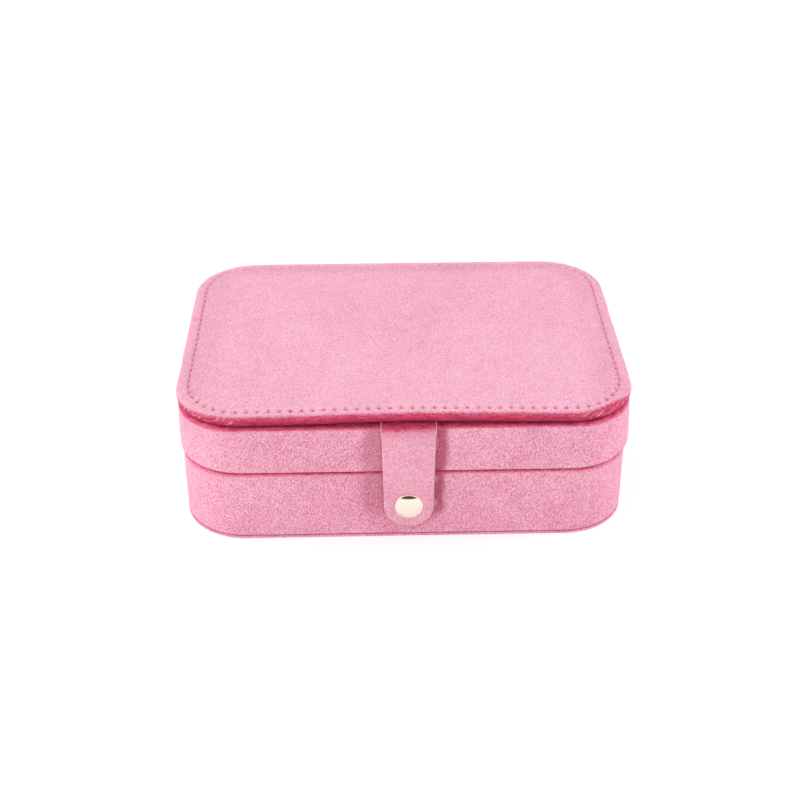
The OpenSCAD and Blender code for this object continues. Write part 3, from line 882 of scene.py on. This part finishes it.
def ribbon_rows(path, half_width, low_side, high_side, tip_r):
    """Cross-sections of a ribbon along a path, between two distances from it, with a round lower tip.

    Also returns which of their points lie on the ribbon's cut edges.
    """
    s, p, normal = walk(path, 0.7 * MM)
    total = s[-1]
    to_tip = total - s
    keep = to_tip > tip_r
    turn = np.linspace(0, 1, 22)[1:]
    tip = total - tip_r + tip_r * np.sin(turn * math.pi / 2)
    s_all = np.concatenate([s[keep], tip])
    p = np.column_stack([np.interp(s_all, s, p[:, k]) for k in range(2)])
    normal = np.column_stack([np.interp(s_all, s, normal[:, k]) for k in range(2)])
    into_tip = np.clip((s_all - (total - tip_r)) / tip_r, 0, 1)
    height = p[:, 1]
    waist = 0.955 + 0.045 * smooth(height, 15 * MM, 40 * MM) + 0.05 * smooth(height, 42 * MM, 49 * MM)
    squareness = 2.25                 # 2 would make the tip a half circle
    width = half_width * waist * (1 - into_tip ** squareness) ** (1 / squareness)
    width = np.maximum(width, 0.06 * half_width)
    thick = (high_side - low_side) / 2
    level = (high_side + low_side) / 2
    end = np.clip((total - s_all) / (0.5 * MM), 0, 1)
    thin = np.sqrt(1 - (1 - end) ** 2) * 0.9 + 0.1
    across = np.linspace(-1, 1, 19)
    arc = np.linspace(-math.pi / 2, math.pi / 2, 7)[1:-1]
    rows, edges = [], []
    for k in range(len(s_all)):
        flat = max(width[k] - thick, 0.02 * MM)
        h = thick * thin[k]
        face = [(flat * a, h * (1 + 0.12 * (1 - a * a))) for a in across]
        right = [(flat + h * math.cos(a), -h * math.sin(a)) for a in arc]
        back = [(-x, -h) for x, _ in face]
        left_side = [(-x, -z) for x, z in right]
        loop = np.array(face + right + back + left_side)
        depth = level + loop[:, 1]
        rows.append(np.column_stack([STRAP_X + loop[:, 0], p[k, 0] + normal[k, 0] * depth,
                                     p[k, 1] + normal[k, 1] * depth]))
        edges.append([0] * len(face) + [1] * len(right) + [0] * len(back) + [1] * len(left_side))
    return np.array(rows), np.array(edges)


def make_strap():
    """The strap's two velvet layers, each bending at the lid's edge."""
    middle_y = (strap_low.y + strap_high.y) / 2
    layer = (strap_high.y - strap_low.y) / 2
    pivot_z = JOINTS["strap_hinge"]["pos_m"][2]
    for name, near, far, nodes in (
        ("strap_face_velvet", 0.02 * MM, layer, ["strap_face", "strap_root"]),
        ("strap_backing_velvet", -layer, -0.02 * MM, ["strap_backing"]),
    ):
        rows, edge = ribbon_rows(strap_path(middle_y), STRAP_W / 2, near, far, 9.6 * MM)
        rows[..., 1] += 0.05 * MM * ripple(rows, 14 * MM, 31) * smooth(-rows[..., 2], -40 * MM, -30 * MM)
        under = smooth(rows[..., 1], middle_y + 1.2 * MM, middle_y + 4 * MM)
        rows[..., 2] -= under * 0.1 * MM
        # crimson at the bend, darkest at the top: pile seen end on, and painted shade under the lid's rolled
        # edge
        over_pivot = np.array([-7.0, -4.2, -1.0, 0.6, 1.8]) * MM
        nap_and_shade = np.interp(rows[..., 2] - pivot_z, over_pivot, [0, 0.09, 0.22, 0.48, 1.0])
        # lighter cut edges, with a painted highlight along the rounded edges, stronger towards the top
        edge = edge * (0.35 + 0.50 * smooth(rows[..., 2], pivot_z - 16 * MM, pivot_z))
        cloth = mesh_object(name, rows, caps=True, paint={"nap_and_shade": nap_and_shade, "edge": edge})
        dress(cloth, STRAP_VELVET, replaces=nodes)
        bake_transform(cloth)


def make_snap_cap():
    """Domed cap inside a fine rolled rim, turned about its own axis."""
    low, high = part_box("snap_cap")
    radius = (high.x - low.x) / 2
    centre_x, centre_z = (high.x + low.x) / 2, (high.z + low.z) / 2
    dome_r = 2.3 * radius
    rim_r = 0.042 * radius
    dome_edge = radius - 2 * rim_r
    drop = math.sqrt(dome_r ** 2 - dome_edge ** 2)
    share = np.concatenate([np.linspace(0, 0.97, 26), [0.985, 0.995, 1.0]])
    out = share * dome_edge
    profile = list(zip(out, 1.1 * rim_r + np.sqrt(dome_r ** 2 - out ** 2) - drop))
    for a in np.radians(np.linspace(170, -80, 13)):
        profile.append((radius - rim_r + rim_r * math.cos(a), rim_r + rim_r * math.sin(a)))
    profile += [(radius * 0.9, 0.0), (0.0, 0.0)]
    sides = 96
    turn = np.linspace(0, 2 * math.pi, sides, endpoint=False)
    rows = [np.column_stack([centre_x + r * np.cos(turn), np.full(sides, strap_low.y - h - STAND_OFF),
                             centre_z + r * np.sin(turn)]) for r, h in profile]
    cap = mesh_object("snap_cap_gold", np.array(rows))
    dress(cap, GOLD, "strap", ["snap_cap"])


# ---- spine ----

def make_spine(name, path, nodes, seed):
    """A width of velvet along a (y, z) path across the back, bending at one joint."""
    low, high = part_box("spine_on_base")
    half = (high.x - low.x) / 2
    thick = 0.7 * MM
    s, p, normal = walk(path, 0.45 * MM)
    xs = np.linspace(-half, half, 70)

    def face(offset):
        """Points of the cloth's face at a distance out from the path."""
        y, z = (p + normal * offset).T[..., None]
        return np.stack(np.broadcast_arrays(xs, y, z), axis=2)

    outer = face(thick)
    outer[..., 1] += 0.05 * MM * np.abs(ripple(outer, 17 * MM, seed))
    around = np.concatenate([face(0.0), outer[:, ::-1]], axis=1)
    cloth = mesh_object(name, around, caps=True)
    dress(cloth, WALL_VELVET, replaces=nodes)
    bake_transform(cloth)


def make_spines():
    """The spine's two lengths, which meet behind the tray. Each bends at one seam."""
    lower_z = JOINTS["tray_hinge"]["pos_m"][2]
    upper_z = JOINTS["lid_hinge"]["pos_m"][2]
    pivot_y = JOINTS["lid_hinge"]["pos_m"][1]
    box_y, tray_y = box_high.y + 0.3 * MM, tray_high.y + 0.3 * MM
    join_z = (lower_z + upper_z) / 2
    hem_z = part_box("spine_on_base")[0].z
    lower = [(box_y, hem_z), (box_y, lower_z - 2.2 * MM), (box_y + 0.25 * MM, lower_z - 1.2 * MM),
             (pivot_y - 0.55 * MM, lower_z), (tray_y + 0.15 * MM, lower_z + 1.2 * MM),
             (tray_y, lower_z + 2.2 * MM), (tray_y, join_z)]
    upper = [(tray_y, join_z + 0.05 * MM), (tray_y, upper_z - 2.4 * MM),
             (tray_y + 0.2 * MM, upper_z - 1.2 * MM), (pivot_y - 0.5 * MM, upper_z - 0.3 * MM),
             (pivot_y - 0.55 * MM, upper_z + 0.15 * MM),
             (pivot_y - 1.3 * MM, upper_z + 0.2 * MM), (pivot_y - 5 * MM, upper_z + 0.25 * MM)]
    make_spine("spine_lower_velvet", lower,
               ["spine_on_base"], 41)
    make_spine("spine_upper_velvet", upper,
               ["spine_on_tray", "spine_on_lid"], 43)


# ---- studio ----

def make_camera():
    """The viewing place and angle: a little left of the middle, looking down at the front."""
    pitch, yaw, roll = math.radians(31.69), math.radians(1.243), math.radians(-0.2)
    forward = Vector((math.sin(yaw) * math.cos(pitch), math.cos(yaw) * math.cos(pitch), -math.sin(pitch)))
    right = Vector((math.cos(yaw), -math.sin(yaw), 0))
    up = right.cross(forward)
    tilted_right = right * math.cos(roll) + up * math.sin(roll)
    tilted_up = up * math.cos(roll) - right * math.sin(roll)
    data = bpy.data.cameras.new("camera")
    data.lens = 64.2
    data.sensor_width = 36
    data.clip_start = 0.01
    place = (-0.0115, -0.4947, 0.3279)
    turn = Matrix((tilted_right, tilted_up, -forward)).transposed()
    camera = in_scene("camera", data)
    camera.matrix_world = Matrix.Translation(place) @ turn.to_4x4()
    bpy.context.scene.camera = camera


def area_light(name, place, size, power, colour=(1, 1, 1)):
    """A soft box that faces the middle of the jewelry box."""
    data = bpy.data.lights.new(name, "AREA")
    data.shape = "RECTANGLE"
    data.size, data.size_y = size
    data.energy = power
    data.color = colour
    target = Vector((0, 0, 20 * MM))
    light = in_scene(name, data)
    light.location = place
    light.rotation_euler = (target - Vector(place)).to_track_quat("-Z", "Y").to_euler()


def plain_card(name, corners, colour, glow=0.0):
    """A flat studio surface, which may glow a little."""
    mesh = bpy.data.meshes.new(name)
    mesh.from_pydata(corners, [], [list(range(len(corners)))])
    n = Nodes(name)
    mottle = n.noise(n.place(), 0.4, 3.0)
    n.set(Base_Color=n.mix(mottle, tuple(c * 0.995 for c in colour), colour), Roughness=0.9,
          Specular_IOR_Level=0.0, Emission_Color=(1, 1, 1), Emission_Strength=glow)
    mesh.materials.append(n.material)
    card = in_scene(name, mesh)
    return card


def make_studio():
    """Pale floor, even light with a soft box on each side, and a dark flag that only polished metal sees."""
    reach, half_grey, warm_black = 4.0, (0.50, 0.50, 0.50), (0.075, 0.042, 0.026)
    floor_corners = [(-reach, -reach, 0), (reach, -reach, 0), (reach, reach, 0), (-reach, reach, 0)]
    plain_card("floor", floor_corners, half_grey, 0.50)
    flag_corners = [(-1.2, -1.0, 0.0), (1.2, -1.0, 0.0), (1.2, -0.95, 0.26), (-1.2, -0.95, 0.26)]
    flag = plain_card("flag", flag_corners, warm_black)
    flag.visible_camera = flag.visible_diffuse = flag.visible_shadow = flag.visible_transmission = False
    area_light("left", (-1.15, -0.15, 0.62), (0.9, 0.9), 9.5, (1.0, 0.985, 0.975))
    area_light("right", (1.15, 0.05, 0.62), (0.9, 0.9), 7.5)
    world = bpy.data.worlds.new("studio")
    world.use_nodes = True
    background = world.node_tree.nodes["Background"]
    background.inputs["Color"].default_value = (1.0, 1.0, 1.0, 1)
    background.inputs["Strength"].default_value = 1.0
    bpy.context.scene.world = world
    bpy.context.scene.view_settings.view_transform = "Standard"


# ---- the whole box ----

def dress_frame_nodes():
    """Gives the CAD pieces that stay in view or inside the walls their materials."""
    kept = {
        BOARD: ["base_frame", "base_floor", "tray_frame", "tray_floor", "lid_board"],
        FOAM: ["lid_foam"],
        GOLD: ["snap_stud", "snap_post", "snap_socket"],
    }
    for material, names in kept.items():
        for name in names:
            node = frame["nodes"][name]
            node.data.materials.clear()
            node.data.materials.append(material)


make_camera()
make_studio()
dress_frame_nodes()

make_lid_cover()
make_stitching()
make_mirror()
make_lid_lining()

make_wall_cover("tray", "tray", tray_low, tray_high, 11, rim_nap_and_shade=(0.72, 1.35 * MM, 0.60), flare=0.9 * MM)
make_wall_lining("tray", "tray", 13)
make_tray_underside()
make_rooms("tray", "tray", {"tray_divider_left": 1, "tray_divider_right": 1, "tray_divider_cross": 0}, 15)
for roll in sorted(n for n in frame["nodes"] if n.startswith("ring_roll_")):
    make_ring_roll(roll, 70 + int(roll.rsplit("_", 1)[1]))

box_hem = box_low - Vector((0, 0, OVERHANG))
make_wall_cover("box", "base", box_hem, box_high, 21, rim_nap_and_shade=(0.50, 1.6 * MM, 0.25))
make_wall_lining("box", "base", 23)
make_bottom_panel()
make_rooms("box", "base", {"base_divider_long": 0, "base_divider_left": 1, "base_divider_right": 1}, 25)

make_strap()
make_snap_cap()
make_spines()
